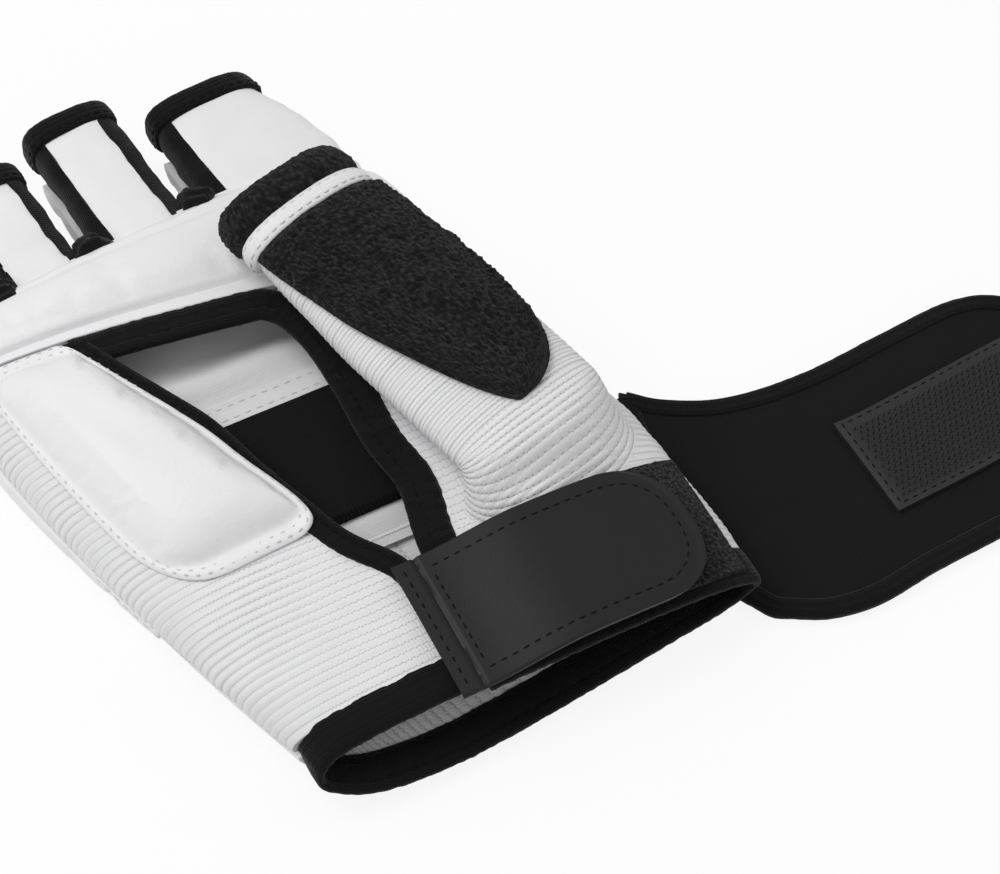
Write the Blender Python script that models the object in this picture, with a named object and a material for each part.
"""A right-hand open-palm padded glove with half fingers, lying palm up with its wrist strap unfolded.

+X is the thumb side, +Y the finger side and +Z the palm side. The glove lies on Z = 0 and Y = 0 is near
its wrist hem.
"""

import math

import bmesh
import bpy
import numpy as np
from mathutils import Vector

mm = 0.001

# Clearance and material thicknesses.
gap = 0.3 * mm
knit = 1.3 * mm
leather = 1.2 * mm
lining = 1.0 * mm
binding = 2.4 * mm
velvet = 2.4 * mm

# The hand section, at four stations from the wrist to the knuckles.
heel_y = 45 * mm
palm_y = 95 * mm
knuckle_y = 141 * mm
section_centre_x = (4 * mm, -5.5 * mm, -17 * mm, -23.5 * mm)
section_half_width = (49.5 * mm, 55 * mm, 55.5 * mm, 53.5 * mm)
section_top_z = (17 * mm, 22 * mm, 24 * mm, 22 * mm)
section_seam_z = (10 * mm, 11.5 * mm, 12 * mm, 11 * mm)
section_power = 2.6

# The wrist hem and cuff.
hem_width = 7 * mm
hem_edge = ((-46, 0.5), (-38, -3.5), (-20, -4.5), (5, -2.5), (30, 0), (54, 1.5))
cuff_ramp_y = 26 * mm
cuff_floor_z = velvet + gap

# The back pad, with two sewn channels across it.
pad_power = 4
pad_flat = 0.5 * mm
channel_depth = 2.2 * mm
channel_width = 4 * mm
channel_places = (78 * mm, 110 * mm)

# The palm opening: the middle lines of its bindings as (x, y) from the fingers to the wrist.
thumb_edge = ((-7.2, 106), (-2.6, 91), (-1.9, 75), (-2.4, 60), (-0.8, 48), (-3.5, 34), (-4.5, 20), (-4.5, 0))
ulnar_edge = (
    (-49, 113),
    (-44, 101),
    (-33.6, 79),
    (-29.7, 65.5),
    (-25, 52),
    (-20.5, 41),
    (-13.5, 31),
    (-11.8, 20),
    (-11.8, 0),
)
thumb_binding_width = 8 * mm
ulnar_binding_width = 5 * mm
top_binding_width = 6.5 * mm
window_top_y = 104 * mm
window_top_slope = -0.167
lining_panel_y = (51 * mm, 84 * mm)
lining_tape_y = 92 * mm
lining_tape_width = 5 * mm

# The pad on the ulnar edge of the palm, and the padded roll under the fingers.
side_pad_height = 7 * mm
side_pad_flange = 0.12
side_pad_setback = 5.5 * mm
side_pad_corner = 9 * mm
side_foam_width = 0.76
side_foam_length = 0.8
side_foam_height = 0.8
bridge_roll = 2.2 * mm

# The fingers: (name, width at the base, width at the tip, length, lean to the thumb side at the tip).
finger_sizes = (
    ("index", 36 * mm, 26 * mm, 32 * mm, -4 * mm),
    ("middle", 23 * mm, 22 * mm, 41 * mm, 0),
    ("ring", 20.5 * mm, 19.5 * mm, 35 * mm, 0),
    ("little", 18.4 * mm, 17 * mm, 25 * mm, 0),
)
finger_space = 3 * mm
finger_slant = 0.08
finger_edge_x = 29.5 * mm
finger_bottom_z = 8 * mm
finger_top_z = 21.5 * mm
finger_power = 3
tip_binding_width = 6 * mm
web_length = 8 * mm
finger_corner = math.radians(40)
finger_seam = math.radians(2)

# The thumb: its base point, its direction in plan, and its outline from base to tip.
thumb_base = (24 * mm, 46 * mm)
thumb_slant = math.radians(15)
thumb_length = 79 * mm
thumb_half_width = (18.5 * mm, 17.5 * mm, 14.4 * mm)
thumb_bottom_z = (24.4 * mm, 26.8 * mm, 29.8 * mm)
thumb_top_z = (35.5 * mm, 39 * mm, 39.6 * mm)
thumb_power = 2.3
thumb_band_width = 9 * mm
thumb_tape_width = 4.5 * mm
terry = 2 * mm
terry_half_turn = math.radians(66)
gusset_reach = 9 * mm

# The closing tab on the wrist, and the loop patch that it holds to.
tab_hinge_x = -10 * mm
tab_end_x = 44.5 * mm
tab_low_y = -1.5 * mm
tab_high_y = 30 * mm
tab_thickness = 1.6 * mm
tab_end_radius = 17 * mm
tab_anchor_width = 5 * mm
loop_height = 1.2 * mm
hook_height = 1.0 * mm
loop_start_x = 9 * mm
loop_end_x = 50 * mm

# The wrist strap: its two folds and its end, with its edges as (x, y).
strap_fold_x = 56.5 * mm
strap_second_fold_x = 86 * mm
strap_end_x = 150 * mm
strap_top_edge = ((48, 68), (56, 60.5), (61, 55.5), (73, 49), (91, 46.5), (110, 47.5), (130, 49), (160, 51))
strap_bottom_edge = ((48, 0), (56, -4), (65, -9), (76, -11), (91, -9.5), (110, -8.5), (130, -7), (160, -5))
strap_anchor_x = -25 * mm
strap_anchor_setback = 1 * mm
strap_end_radius = 24 * mm
strap_flare = 5 * mm
strap_hook_x = 91 * mm
strap_hook_length = 46 * mm
strap_hook_margin = 15 * mm
strap_hook_height = 1.6 * mm

colours = {
    "white_leather": ((0.86, 0.86, 0.86), 0.45),
    "white_knit": ((0.83, 0.83, 0.84), 0.85),
    "white_lining": ((0.80, 0.80, 0.80), 0.9),
    "grey_foam": ((0.55, 0.55, 0.56), 0.95),
    "black_leather": ((0.02, 0.02, 0.022), 0.4),
    "black_knit": ((0.012, 0.012, 0.012), 0.85),
    "black_terry": ((0.008, 0.008, 0.008), 1.0),
    "black_velvet": ((0.015, 0.015, 0.016), 0.95),
    "hook_and_loop": ((0.025, 0.025, 0.027), 0.9),
}


# ---- Curves and sections


def along(values, y):
    """A value between the four stations of the hand, on the cubic through them."""
    stations = (0, heel_y, palm_y, knuckle_y)
    return float(np.polyval(np.polyfit(stations, values, 3), y))


def through(values, share):
    """A value on the parabola through three values at shares 0, one half and 1."""
    return float(np.polyval(np.polyfit((0, 0.5, 1), values, 2), share))


def ease(value, low, high):
    share = min(max((value - low) / (high - low), 0), 1)
    return share * share * (3 - 2 * share)


def edge_at(edge, place, by):
    """A smooth edge's other coordinate where coordinate number by equals place. The edge is in millimetres."""
    knots = sorted((point[by] * mm, point[1 - by] * mm) for point in edge)
    last = len(knots) - 2
    first = min(max(sum(knot[0] <= place for knot in knots) - 1, 0), last)
    slopes = []
    for index in (first, first + 1):
        before = knots[max(index - 1, 0)]
        after = knots[min(index + 1, last + 1)]
        slopes.append((after[1] - before[1]) / (after[0] - before[0]))
    (start, low), (end, high) = knots[first], knots[first + 1]
    span = end - start
    t = (place - start) / span
    curve = (2 * t**3 - 3 * t**2 + 1) * low + (3 * t**2 - 2 * t**3) * high
    return curve + span * ((t**3 - 2 * t**2 + t) * slopes[0] + (t**3 - t**2) * slopes[1])


def edge_offset(edge, y, distance):
    """The edge's x at y, moved sideways by a distance measured square to the edge."""
    slope = (edge_at(edge, y + mm, 1) - edge_at(edge, y - mm, 1)) / (2 * mm)
    return edge_at(edge, y, 1) + distance * math.hypot(1, slope)


def turned(value, power):
    """A superellipse's point for an angle: how far across, and how far up."""
    across = math.copysign(abs(math.cos(value)) ** (2 / power), math.cos(value))
    up = math.copysign(abs(math.sin(value)) ** (2 / power), math.sin(value))
    return across, up


def skin(angle, y, lift):
    """A point on the palm half of the hand section. The angle runs from the thumb side to the ulnar side."""
    across, up = turned(angle, section_power)
    seam = along(section_seam_z, y)
    rise = along(section_top_z, y) - seam + lift
    reach = along(section_half_width, y) + lift
    return Vector((along(section_centre_x, y) + reach * across, y, seam + gap + rise * up))


def skin_height(x, y, lift):
    """The height of the palm's skin over a point."""
    seam = along(section_seam_z, y)
    rise = along(section_top_z, y) - seam + lift
    share = abs(x - along(section_centre_x, y)) / (along(section_half_width, y) + lift)
    return seam + gap + rise * max(1 - share**section_power, 0) ** (1 / section_power)


def skin_normal(x, y):
    step = 0.5 * mm
    slope_x = (skin_height(x + step, y, 0) - skin_height(x - step, y, 0)) / (2 * step)
    slope_y = (skin_height(x, y + step, 0) - skin_height(x, y - step, 0)) / (2 * step)
    return Vector((-slope_x, -slope_y, 1)).normalized()


def skin_angle(x, y):
    """The section angle of the skin over x."""
    share = (x - along(section_centre_x, y)) / along(section_half_width, y)
    share = min(max(share, -1), 1)
    return math.acos(math.copysign(abs(share) ** (section_power / 2), share))


def window_top(x):
    """The line where the palm opening ends and the roll under the fingers begins."""
    return window_top_y + top_binding_width / 2 + window_top_slope * (x + 10 * mm)


def knuckle_line(x):
    return knuckle_y + finger_slant * (x - finger_edge_x)


def hem_line(x):
    """The hem of the back of the cuff, which dips towards the ulnar side."""
    return edge_at(hem_edge, x, 0)


# ---- Bodies and solids


def material(name):
    look = bpy.data.materials.get(name) or bpy.data.materials.new(name)
    look.use_nodes = True
    shader = look.node_tree.nodes["Principled BSDF"]
    colour, roughness = colours[name]
    shader.inputs["Base Color"].default_value = (*colour, 1)
    shader.inputs["Roughness"].default_value = roughness
    shader.inputs["Metallic"].default_value = 0
    return look


def joint(name, place):
    """An empty on a joint's axis, which carries the pieces that turn about it."""
    pivot = bpy.data.objects.new(name, None)
    pivot.location = place
    bpy.context.scene.collection.objects.link(pivot)
    return pivot


def finish(name, mesh, look, pivot):
    """Closes a piece's mesh and places it in the scene, under the joint that moves it."""
    bmesh.ops.recalc_face_normals(mesh, faces=mesh.faces[:])
    if mesh.calc_volume(signed=True) < 0:
        bmesh.ops.reverse_faces(mesh, faces=mesh.faces[:])
    if pivot:
        bmesh.ops.translate(mesh, verts=mesh.verts[:], vec=-pivot.location)
    data = bpy.data.meshes.new(name)
    mesh.to_mesh(data)
    mesh.free()
    data.shade_smooth()
    data.set_sharp_from_angle(angle=math.radians(40))
    data.materials.append(material(look))
    piece = bpy.data.objects.new(name, data)
    piece.parent = pivot
    bpy.context.scene.collection.objects.link(piece)
    return piece


def sheet(name, look, place, across, down, pivot=None):
    """A closed sheet. place(u, v, side) is its outer face at side 0 and its inner face at side 1."""
    mesh = bmesh.new()
    bmesh.ops.create_grid(mesh, x_segments=across, y_segments=down, size=0.5)
    u_of = mesh.verts.layers.float.new("u")
    v_of = mesh.verts.layers.float.new("v")
    for vertex in mesh.verts:
        vertex[u_of] = vertex.co.x + 0.5
        vertex[v_of] = vertex.co.y + 0.5
    made = bmesh.ops.extrude_face_region(mesh, geom=mesh.faces[:])
    inner = {item for item in made["geom"] if isinstance(item, bmesh.types.BMVert)}
    for vertex in mesh.verts:
        vertex.co = place(vertex[u_of], vertex[v_of], 1 if vertex in inner else 0)
    return finish(name, mesh, look, pivot)


def loft(name, look, rings, pivot=None, closed=False):
    """A solid through rings of points. A closed one joins its last ring to its first, and has no ends."""
    mesh = bmesh.new()
    loops = [[mesh.verts.new(point) for point in ring] for ring in rings]
    follow = loops[1:] + loops[:1] if closed else loops[1:]
    for here, there in zip(loops, follow):
        for index in range(len(here)):
            back = index - 1
            mesh.faces.new((here[back], here[index], there[index], there[back]))
    if not closed:
        mesh.faces.new(loops[0])
        mesh.faces.new(loops[-1])
    return finish(name, mesh, look, pivot)


def oval(centre, side, normal, width, thickness, count=8):
    """One ring of a flat oval bar."""
    ring = []
    for index in range(count):
        across, up = turned(2 * math.pi * (index + 0.5) / count, 3)
        ring.append(centre + side * (across * width / 2) + normal * (up * thickness / 2))
    return ring


def bar_on_skin(name, look, path, width, thickness, lift):
    """A binding laid along a path of (x, y) points on the palm's skin."""
    rings = []
    for index, (x, y) in enumerate(path):
        before, after = path[max(index - 1, 0)], path[min(index + 1, len(path) - 1)]
        start = Vector((*before, skin_height(*before, lift)))
        end = Vector((*after, skin_height(*after, lift)))
        normal = skin_normal(x, y)
        side = (end - start).cross(normal).normalized()
        rings.append(oval(Vector((x, y, skin_height(x, y, lift))), side, normal, width, thickness))
    return loft(name, look, rings)


# ---- The back of the hand


def back_cover():
    """The back pad's cover: a tray with drawn-in sides, sewn shut across its channels."""

    def place(u, v, side):
        return pad_bowl(2 * u - 1, 2 * v - 1, side * leather, side * leather, 0)

    sheet("back_pad_cover", "white_leather", place, 12, 16)


def pad_bowl(u, v, inset, low, rim):
    """A point on the back pad's bowl. Its bottom is cut flat at the height low, and its rim drops by rim."""
    across, deep = turned(math.pi / 2 * (1 - u), pad_power)
    length, also_deep = turned(math.pi / 2 * (1 - v), pad_power)
    share = (length + 1) / 2
    start = heel_y + gap + inset
    y = start + share * (knuckle_y - gap - inset - start)
    x = along(section_centre_x, y) + across * (along(section_half_width, y) - inset)
    y = start + share * (knuckle_line(x) - gap - inset - start)
    seam = along(section_seam_z, y)
    dip = sum(math.exp(-(((y - place) / channel_width) ** 2)) for place in channel_places)
    z = seam - rim - (seam + pad_flat - inset - rim) * deep * also_deep
    z += channel_depth * dip * deep * also_deep
    return Vector((x, y, max(z, low)))


def back_foam():
    """The foam fills the tray up to just under its seam."""

    def place(u, v, side):
        inset = leather + 1.2 * mm
        point = pad_bowl(2 * u - 1, 2 * v - 1, inset, leather + gap, 3 * gap)
        if side:
            point.z = along(section_seam_z, point.y) - gap
        return point

    sheet("back_pad_foam", "grey_foam", place, 10, 12)


def flat_layer(name, look, low_y, high_y, left, right, base, thickness, rows=4):
    """A sheet that lies on the lining, base above the seam. left and right give its edges for each y."""

    def place(u, v, side):
        y = low_y + v * (high_y - low_y)
        x = left(y) + u * (right(y) - left(y))
        if high_y > palm_y + mm:
            y = low_y + v * (min(high_y, knuckle_line(x) - 1 * mm) - low_y)
        return Vector((x, y, along(section_seam_z, y) + base + (0 if side else thickness)))

    sheet(name, look, place, 6, rows)


def linings():
    """The hand lies on these: the padded lining, the stretch panel across it and the tape over its seam."""
    inset = knit + 5 * gap

    def left(y):
        return along(section_centre_x, y) - along(section_half_width, y) + inset

    def right(y):
        return along(section_centre_x, y) + along(section_half_width, y) - inset

    def band_left(y):
        return edge_at(ulnar_edge, y, 1) - 12 * mm

    def band_right(y):
        return edge_at(thumb_edge, y, 1) + 14 * mm

    flat_layer("back_lining", "white_lining", heel_y + 2 * gap, knuckle_y, left, right, gap, lining, 8)
    low, high = lining_panel_y
    above = lining + 2 * gap
    flat_layer("lining_panel", "black_knit", low, high, band_left, band_right, above, lining)
    start = lining_tape_y - lining_tape_width / 2
    end = lining_tape_y + lining_tape_width / 2
    flat_layer("lining_tape", "white_knit", start, end, band_left, band_right, above, 0.6 * mm)


# ---- The cuff and the palm


def cuff_floor(y):
    """The back of the cuff lies over the strap's sewn end, and climbs to the lining at the heel."""
    climb = ease(y, cuff_ramp_y, heel_y)
    return cuff_floor_z + climb * (along(section_seam_z, y) - cuff_floor_z - 3 * mm)


def back_skin(angle, y, inset):
    """A point on the thin back of the cuff."""
    across, up = turned(angle, section_power)
    seam = along(section_seam_z, y)
    reach = along(section_half_width, y) - inset
    z = seam + (seam - cuff_floor(y) - inset) * up
    return Vector((along(section_centre_x, y) + reach * across, y, z))


def cuff_back():
    def place(u, v, side):
        angle = math.pi * (2 - u)
        point = back_skin(angle, 0, 0)
        start = hem_line(point.x) + hem_width + gap
        return back_skin(angle, start + v * (heel_y - gap - start), side * knit)

    sheet("cuff_back", "white_knit", place, 16, 7)


def hem_back():
    """The bound hem of the back of the cuff, an arc from seam to seam."""
    steps = 24
    rings = []
    for index in range(steps + 1):
        angle = math.pi * (2 - index / steps)
        y = hem_line(back_skin(angle, 0, 0).x) + hem_width / 2
        here = back_skin(angle, y, knit / 2)
        normal = (here - back_skin(angle, y, 3 * knit)).normalized()
        rings.append(oval(here, Vector((0, 1, 0)), normal, hem_width, binding - 2 * gap))
    loft("hem_binding_back", "black_knit", rings)


def panel_point(u, v, lift, from_angle, to_angle, low, high):
    """A point of a palm panel between two section angles and two lines across the hand."""
    x = along(section_centre_x, heel_y)
    for _ in range(4):
        y = low(x) + v * (high(x) - low(x))
        angle = from_angle(y) + u * (to_angle(y) - from_angle(y))
        point = skin(angle, y, lift)
        x = point.x
    return point


def palm_panels():
    """The ribbed knit on both sides of the palm opening."""
    low_line = hem_width + gap

    def thumb_end(y):
        return skin_angle(edge_offset(thumb_edge, y, thumb_binding_width / 2 + gap), y)

    def ulnar_end(y):
        return skin_angle(edge_offset(ulnar_edge, y, -ulnar_binding_width / 2 - 2 * gap), y)

    def thumb_place(u, v, side):
        return panel_point(
            u, v, -side * knit, lambda y: 0, thumb_end, lambda x: low_line, lambda x: window_top(x) - gap
        )

    def ulnar_place(u, v, side):
        return panel_point(
            u,
            v,
            -side * knit,
            ulnar_end,
            lambda y: math.pi,
            lambda x: low_line + 2 * mm,
            lambda x: window_top(x) - gap,
        )

    panel = sheet("thumb_side_panel", "white_knit", thumb_place, 11, 15)
    sheet("ulnar_panel", "white_knit", ulnar_place, 10, 15)
    thumb_hole(panel)


def thumb_hole(panel):
    """The hole through which the thumb leaves the hand's space, under the thumb's base."""
    mesh = bmesh.new()
    made = bmesh.ops.create_cone(
        mesh, cap_ends=True, segments=20, radius1=1, radius2=1, depth=30 * mm
    )
    long_way = gusset_reach * 0.8
    wide_way = thumb_half_width[0] * 0.7
    bmesh.ops.scale(mesh, vec=(wide_way, long_way, 1), verts=made["verts"])
    data = bpy.data.meshes.new("thumb_hole_cutter")
    mesh.to_mesh(data)
    mesh.free()
    cutter = bpy.data.objects.new("thumb_hole_cutter", data)
    cutter.location = (*thumb_base, 22 * mm)
    cutter.rotation_euler.z = thumb_slant
    cutter.hide_render = True
    cutter.display_type = "WIRE"
    bpy.context.scene.collection.objects.link(cutter)
    cut = panel.modifiers.new("thumb hole", "BOOLEAN")
    cut.operation = "DIFFERENCE"
    cut.solver = "EXACT"
    cut.object = cutter


def hems():
    """The bound hems of the two palm panels."""
    steps = 16
    thumb_start = edge_offset(thumb_edge, 0, -thumb_binding_width / 2)
    ulnar_start = edge_offset(ulnar_edge, 0, ulnar_binding_width / 2)
    sides = (
        ("hem_binding_thumb", 0, skin_angle(thumb_start, 0), 0),
        ("hem_binding_ulnar", math.pi, skin_angle(ulnar_start, 0), 2 * mm),
    )
    for name, start, end, shift in sides:
        rings = []
        for index in range(steps + 1):
            angle = start + (end - start) * index / steps
            y = hem_width / 2 + shift
            here = skin(angle, y, -knit / 2)
            normal = (skin(angle, y, knit) - here).normalized()
            rings.append(oval(here, Vector((0, 1, 0)), normal, hem_width, binding - 2 * gap))
        loft(name, "black_knit", rings)


def opening_bindings():
    """The wide stitched bindings round the tear-drop palm opening, down both sides of the wrist slit."""
    steps = 24
    start_y = hem_width + gap
    thumb_path, ulnar_path = [], []
    for index in range(steps + 1):
        share = index / steps
        y = start_y + share * (window_top(edge_at(thumb_edge, palm_y, 1)) - 2 * mm - start_y)
        thumb_path.append((edge_at(thumb_edge, y, 1), y))
        low = start_y + 2 * mm
        y = low + share * (window_top(edge_at(ulnar_edge, palm_y, 1)) - gap - 2 * mm - low)
        ulnar_path.append((edge_at(ulnar_edge, y, 1), y))
    lift = -knit / 2
    bar_on_skin("opening_binding_thumb", "black_knit", thumb_path, thumb_binding_width, binding, lift)
    bar_on_skin("opening_binding_ulnar", "black_knit", ulnar_path, ulnar_binding_width, binding, lift)
    left = edge_offset(ulnar_edge, window_top_y, ulnar_binding_width / 2 + 3 * gap)
    right = edge_offset(thumb_edge, window_top_y, -thumb_binding_width / 2 - 3 * gap)
    top_path = []
    for index in range(steps // 2 + 1):
        x = left + (right - left) * index / (steps // 2)
        top_path.append((x, window_top(x) - top_binding_width / 2 - 2 * gap))
    bar_on_skin("opening_binding_top", "black_knit", top_path, top_binding_width, binding, lift)


def palm_bridge():
    """The smooth padded roll across the roots of the fingers."""

    def place(u, v, side):
        roll = bridge_roll * (1 - abs(2 * v - 1) ** 3) * abs(math.sin(math.pi * u)) ** 0.3
        lift = -knit if side else 0.5 * mm + roll
        return panel_point(
            u,
            v,
            lift,
            lambda y: 0,
            lambda y: math.pi,
            lambda x: window_top(x) + gap,
            lambda x: knuckle_line(x) - gap,
        )

    sheet("palm_bridge", "white_leather", place, 20, 7)


def side_pad():
    """The padded ulnar edge of the palm: foam under a cover with a flat sewn border."""

    def lifted(u, v, lift):
        low = heel_y + 2 * gap
        x = edge_at(ulnar_edge, palm_y, 1)
        for _ in range(4):
            high = window_top(x) - 2 * gap
            corner = side_pad_corner * max(u, 0) ** 4 * max(-v, 0)
            y = low + corner + (v + 1) / 2 * (high - low - corner)
            inner = edge_offset(ulnar_edge, y, -ulnar_binding_width / 2 - 3 * gap)
            outer = along(section_centre_x, y) - along(section_half_width, y) + side_pad_setback
            x = inner + (u + 1) / 2 * (outer - inner)
        return Vector((x, y, skin_height(x, y, lift)))

    def crown(u, v):
        rise = 1
        for value in (u, v):
            share = min(abs(value) / (1 - side_pad_flange), 1)
            rise *= max(1 - share**4, 0) ** 0.5
        return side_pad_height * rise

    def cover(u, v, side):
        u, v = 2 * u - 1, 2 * v - 1
        return lifted(u, v, gap + crown(u, v) + (0 if side else leather))

    def foam(u, v, side):
        u, v = side_foam_width * (2 * u - 1), side_foam_length * (2 * v - 1)
        return lifted(u, v, gap if side else side_foam_height * crown(u, v))

    sheet("side_pad_cover", "white_leather", cover, 12, 16)
    sheet("side_pad_foam", "grey_foam", foam, 6, 10)


# ---- The fingers


finger_across = Vector((1, finger_slant, 0)).normalized()
finger_ahead = Vector((-finger_slant, 1, 0)).normalized()
finger_root = Vector((finger_edge_x, knuckle_y, 0))


class Finger:
    """One half-finger stall: where it stands on the knuckle line, and its section along its length."""

    def __init__(self, name, base, tip, length, lean, edge):
        self.name, self.base, self.tip, self.length, self.lean = name, base, tip, length, lean
        self.middle = edge - base / 2
        self.pivot = joint(name + "_joint", self.at(0, 0, finger_top_z))

    def at(self, across, ahead, z):
        """A point from how far it lies across from the middle, ahead of the knuckle line, and its height."""
        across += self.middle + self.lean * ease(ahead, 0, 1.2 * self.length)
        return finger_root + finger_across * across + finger_ahead * ahead + Vector((0, 0, z))

    def half_width(self, ahead):
        return (self.base + (self.tip - self.base) * ease(ahead, 0, 1.2 * self.length)) / 2

    def wall(self, angle, ahead, lift):
        across, up = turned(angle, finger_power)
        middle_z = (finger_top_z + finger_bottom_z) / 2
        half_height = (finger_top_z - finger_bottom_z) / 2 - binding / 2
        width = self.half_width(ahead) - binding / 2
        return self.at(across * (width + lift), ahead, middle_z + up * (half_height + lift))

    def strip(self, part, look, start, end, steps):
        """A strip of the stall between two angles, with a seam's clearance at each."""

        def place(u, v, side):
            angle = start + finger_seam + u * (end - start - 2 * finger_seam)
            return self.wall(angle, gap + v * (self.length - gap), -side * knit)

        sheet(self.name + part, look, place, steps, 3, self.pivot)

    def tip_ring(self):
        rings = []
        steps = 24
        for index in range(steps):
            angle = 2 * math.pi * index / steps
            low, high = gap, binding / 2
            back = self.length - tip_binding_width
            ring = [(low, back), (high, back + mm), (high, self.length - mm), (low, self.length)]
            rings.append([self.wall(angle, ahead, lift) for lift, ahead in ring])
        loft(self.name + "_tip_binding", "black_knit", rings, self.pivot, closed=True)

    def pad(self):
        """The padded back of the finger: a cover with drawn-in sides, cut flat where it stands, and its foam."""
        rim = finger_bottom_z + binding / 2 - 2 * gap
        start = 1 * mm
        end = self.length - tip_binding_width - 1 * mm

        def bowl(u, v, inset, low, drop):
            across, deep = turned(math.pi / 2 * (1 - u), pad_power)
            length, also_deep = turned(math.pi / 2 * (1 - v), pad_power)
            ahead = (start + end) / 2 + length * ((end - start) / 2 - inset)
            width = self.half_width(ahead) - 1 * mm - inset
            z = rim - drop - (rim + pad_flat - inset - drop) * deep * also_deep
            return self.at(across * width, ahead, max(z, low))

        def cover(u, v, side):
            return bowl(2 * u - 1, 2 * v - 1, side * leather, side * leather, 0)

        def foam(u, v, side):
            point = bowl(2 * u - 1, 2 * v - 1, leather + 0.8 * mm, leather + gap, 3 * gap)
            if side:
                point.z = rim - gap
            return point

        sheet(self.name + "_pad_cover", "white_leather", cover, 7, 7, self.pivot)
        sheet(self.name + "_pad_foam", "grey_foam", foam, 5, 5, self.pivot)

    def build(self, first, last):
        """The outer fingers' free sides are white with the palm; sides that face another finger are black."""
        thumb_side = (-finger_corner, finger_corner)
        little_side = (math.pi - finger_corner, math.pi + finger_corner)
        start = thumb_side[0] if first else thumb_side[1]
        end = little_side[1] if last else little_side[0]
        self.strip("_palm_fabric", "white_leather", start, end, 12 if first or last else 8)
        self.strip("_back_fabric", "white_lining", little_side[1], math.tau - finger_corner, 6)
        if not first:
            self.strip("_fourchette_thumb_side", "black_knit", *thumb_side, 6)
        if not last:
            self.strip("_fourchette_little_side", "black_knit", *little_side, 6)
        self.tip_ring()
        self.pad()


def web(name, across):
    """The small padded web that closes the crotch between two fingers."""
    rings = []
    steps = 6
    middle_z = (finger_top_z + finger_bottom_z) / 2
    for index in range(steps + 1):
        share = index / steps
        height = (finger_top_z - finger_bottom_z - 3 * mm) * (1 - 0.55 * share**2)
        width = finger_space - 2 * gap
        here = finger_root + finger_across * across + finger_ahead * (gap + share * (web_length - gap))
        here.z = middle_z + 1 * mm
        rings.append(oval(here, finger_across, Vector((0, 0, 1)), width, height))
    loft(name, "black_knit", rings)


def fingers():
    edge = 0
    before = None
    last = len(finger_sizes) - 1
    for index, (name, base, tip, length, lean) in enumerate(finger_sizes):
        if before:
            web(f"crotch_web_{before}_{name}", edge - finger_space / 2)
            edge -= finger_space
        Finger(name, base, tip, length, lean, edge).build(index == 0, index == last)
        edge -= base
        before = name


# ---- The thumb


thumb_across = Vector((math.cos(thumb_slant), math.sin(thumb_slant), 0))
thumb_ahead = Vector((-math.sin(thumb_slant), math.cos(thumb_slant), 0))


def thumb_wall(angle, ahead, lift):
    """A point on the thumb's stall, ahead of its base, at an angle round it."""
    share = ahead / thumb_length
    low, high = through(thumb_bottom_z, share), through(thumb_top_z, share)
    across, up = turned(angle, thumb_power)
    width = through(thumb_half_width, share) + lift
    here = Vector((*thumb_base, (low + high) / 2))
    here += thumb_across * (across * width) + thumb_ahead * ahead
    here.z += up * ((high - low) / 2 + lift)
    return here


def thumb_ring(name, look, start, end, low, high, pivot, rows):
    """A closed band round the thumb, from start to end along it and from low to high off its wall."""
    rings = []
    steps = 24
    ends = [start + (end - start) * row / rows for row in range(rows + 1)]
    outline = [(ahead, high) for ahead in ends] + [(ahead, low) for ahead in reversed(ends)]
    for index in range(steps):
        angle = 2 * math.pi * (index + 0.5) / steps
        rings.append([thumb_wall(angle, ahead, lift) for ahead, lift in outline])
    loft(name, look, rings, pivot, closed=True)


def thumb():
    """The ribbed stall, the terry patch on its back, and the tape and terry band at its open tip."""
    pivot = joint("thumb_joint", thumb_wall(math.pi / 2, 0, 0))
    thumb_ring("thumb_stall", "white_knit", 0, thumb_length, -knit, 0, pivot, 6)
    band_start = thumb_length - thumb_band_width
    tape_start = band_start - thumb_tape_width
    thumb_ring("thumb_tip_band", "black_terry", band_start, thumb_length, gap, gap + terry, pivot, 2)
    thumb_ring("thumb_tape", "white_knit", tape_start, band_start - gap, gap, gap + knit, pivot, 1)

    def patch(u, v, side):
        half = terry_half_turn * (1 - (1 - v) ** 2.6) ** (1 / 1.6) + finger_seam
        angle = math.pi / 2 + (2 * u - 1) * half
        ahead = 1 * mm + v * (tape_start - gap - 1 * mm)
        return thumb_wall(angle, ahead, gap if side else gap + terry)

    sheet("thumb_terry_patch", "black_terry", patch, 8, 11, pivot)


def thumb_gusset():
    """The bulge of ribbed knit where the thumb is set into the hand, a quarter dome behind the thumb's base."""

    def place(u, v, side):
        inset = side * knit
        angle = math.pi * u
        top = thumb_wall(angle, 0, -inset)
        across, up = turned(angle, 2)
        back = (gusset_reach - inset) * up
        climb = math.sin(math.pi / 2 * v)
        behind = gap + back * math.cos(math.pi / 2 * v)
        here = Vector((*thumb_base, 0)) - thumb_ahead * behind
        here += thumb_across * (top - Vector((*thumb_base, 0))).dot(thumb_across)
        foot = skin_height(here.x, here.y, gap)
        here.z = foot + (top.z - foot) * climb
        return here

    sheet("thumb_gusset", "white_knit", place, 16, 6)


# ---- The tab and its loop patch


def tab_lift(x):
    """How high the tab's underside lies over the skin: low at its sewn end, and over the hook further on."""
    low = binding / 2 + gap
    high = binding / 2 + loop_height + hook_height + 3 * gap
    return low + (high - low) * ease(x, tab_hinge_x, loop_start_x + 4 * mm)


def rounded_end(x, start, end, radius):
    """How much of the half width is left at x, where the end of a strap is rounded off."""
    share = min(max((x - (end - radius)) / radius, 0), 1)
    return (1 - share * share) ** 0.5


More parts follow.
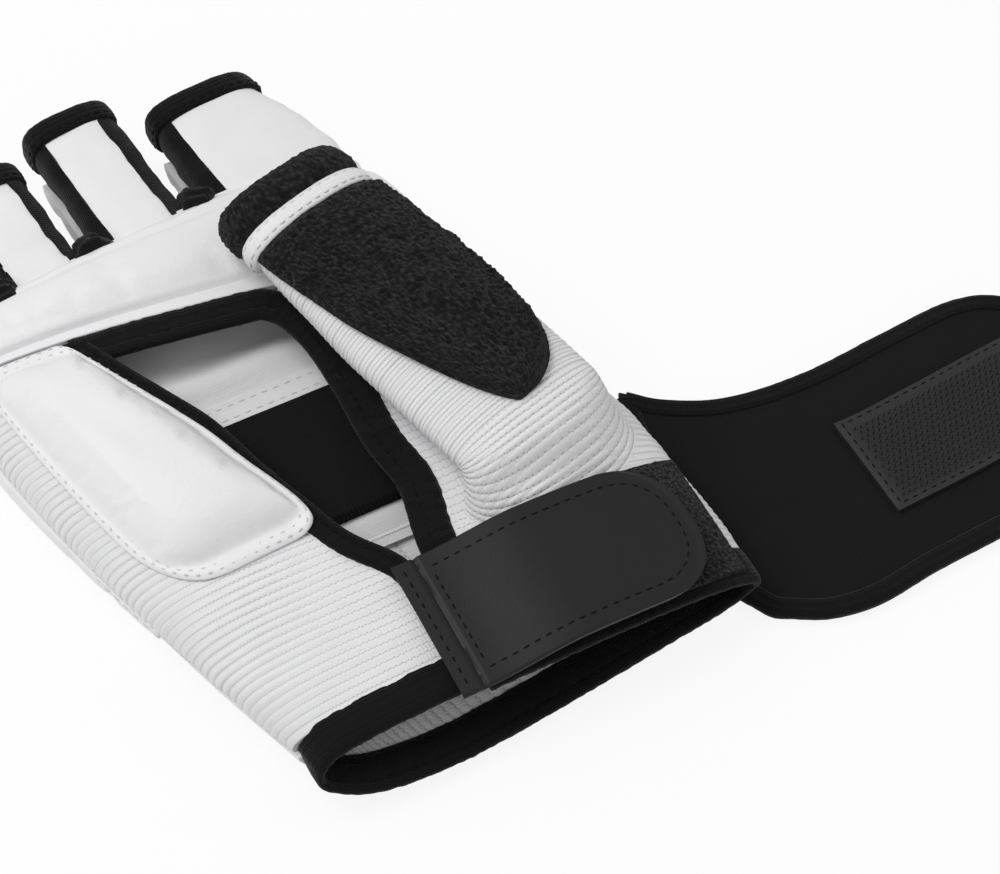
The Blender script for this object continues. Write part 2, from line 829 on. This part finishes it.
def tab_place(start, end, margin, low, thickness):
    """A layer of the tab. low is how far its underside lies over the tab's own underside."""
    middle = (tab_low_y + tab_high_y) / 2
    half = (tab_high_y - tab_low_y) / 2 - margin
    def place(u, v, side):
        x = start + (1 - (1 - u) ** 1.5) * (end - start)
        y = middle + (2 * v - 1) * max(half * rounded_end(x, start, end, tab_end_radius), 3 * mm)
        return Vector((x, y, skin_height(x, y, tab_lift(x) + low + (0 if side else thickness))))

    return place


def tab():
    """The closing tab: a smooth cover with hook tape under its free end."""
    middle = (tab_low_y + tab_high_y) / 2
    top = skin_height(tab_hinge_x, middle, tab_lift(tab_hinge_x) + tab_thickness)
    pivot = joint("tab_joint", Vector((tab_hinge_x, middle, top)))
    cover = tab_place(tab_hinge_x + gap, tab_end_x, 0, 0, tab_thickness)
    sheet("tab_cover", "black_leather", cover, 14, 6, pivot)
    hook_start = loop_start_x + 6 * mm
    hook = tab_place(hook_start, tab_end_x - 4 * mm, 3 * mm, -gap - hook_height, hook_height)
    sheet("tab_hook", "hook_and_loop", hook, 7, 4, pivot)


def on_skin(start_x, end_x, start_y, end_y, low, thickness):
    def place(u, v, side):
        x = start_x + u * (end_x - start_x)
        y = start_y + v * (end_y - start_y)
        return Vector((x, y, skin_height(x, y, low + (0 if side else thickness))))

    return place


def tab_seats():
    """The strip that sews the tab to the ulnar side, and the loop patch on the thumb side."""
    low = binding / 2 + gap - knit / 2
    anchor_end = tab_hinge_x - gap
    height = tab_lift(tab_hinge_x) + tab_thickness - low
    strip = on_skin(anchor_end - tab_anchor_width, anchor_end, tab_low_y + 3 * mm, tab_high_y, low, height)
    sheet("tab_anchor", "black_leather", strip, 3, 8)
    patch = on_skin(loop_start_x, loop_end_x, mm, tab_high_y + mm, low, loop_height)
    sheet("loop_patch", "hook_and_loop", patch, 10, 4)


# ---- The wrist strap


def strap_layer(name, look, start, end, margin, base, thickness, round_by, pivot, steps):
    """A flat layer of the strap between two places along it, with a margin to its edges."""

    def place(u, v, side):
        x = start + (1 - (1 - u) ** (1.6 if round_by else 1)) * (end - start)
        low = edge_at(strap_bottom_edge, x, 0) + margin
        high = edge_at(strap_top_edge, x, 0) - margin
        share = max(rounded_end(x, start, end, round_by), 0.2) if round_by else 1
        y = (low + high) / 2 + (2 * v - 1) * (high - low) / 2 * share
        return Vector((x, y, base + (0 if side else thickness)))

    sheet(name, look, place, steps, 6, pivot)


def strap():
    """The wrist strap: sewn under the back of the cuff, and folding up and over the wrist at two places."""
    middle = (edge_at(strap_top_edge, strap_fold_x, 0) + edge_at(strap_bottom_edge, strap_fold_x, 0)) / 2
    first = joint("strap_joint", Vector((strap_fold_x, middle, velvet)))
    second = joint("strap_end_joint", Vector((strap_second_fold_x, middle, velvet)))
    near_end = strap_second_fold_x - gap
    strap_layer("strap_near", "black_velvet", strap_fold_x + gap, near_end, 0, 0, velvet, 0, first, 8)
    far_start = strap_second_fold_x
    strap_layer(
        "strap_far", "black_velvet", far_start, strap_end_x, 0, 0, velvet, strap_end_radius, second, 14
    )
    hook_end = strap_hook_x + strap_hook_length
    strap_layer(
        "strap_hook",
        "hook_and_loop",
        strap_hook_x,
        hook_end,
        strap_hook_margin,
        velvet + gap,
        strap_hook_height,
        0,
        second,
        6,
    )

    def anchor(u, v, side):
        x = strap_anchor_x + u * (strap_fold_x - strap_anchor_x)
        flares = x > strap_fold_x - strap_flare
        low = edge_at(strap_bottom_edge, x, 0) if flares else hem_line(x) + strap_anchor_setback
        high = edge_at(strap_top_edge, x, 0) if flares else heel_y - mm
        return Vector((x, low + v * (high - low), 0 if side else velvet))

    sheet("strap_anchor", "black_velvet", anchor, 20, 4)


def main():
    for item in list(bpy.data.objects):
        bpy.data.objects.remove(item)
    back_cover()
    back_foam()
    linings()
    cuff_back()
    hem_back()
    palm_panels()
    hems()
    opening_bindings()
    palm_bridge()
    side_pad()
    fingers()
    thumb()
    thumb_gusset()
    tab()
    tab_seats()
    strap()


main()
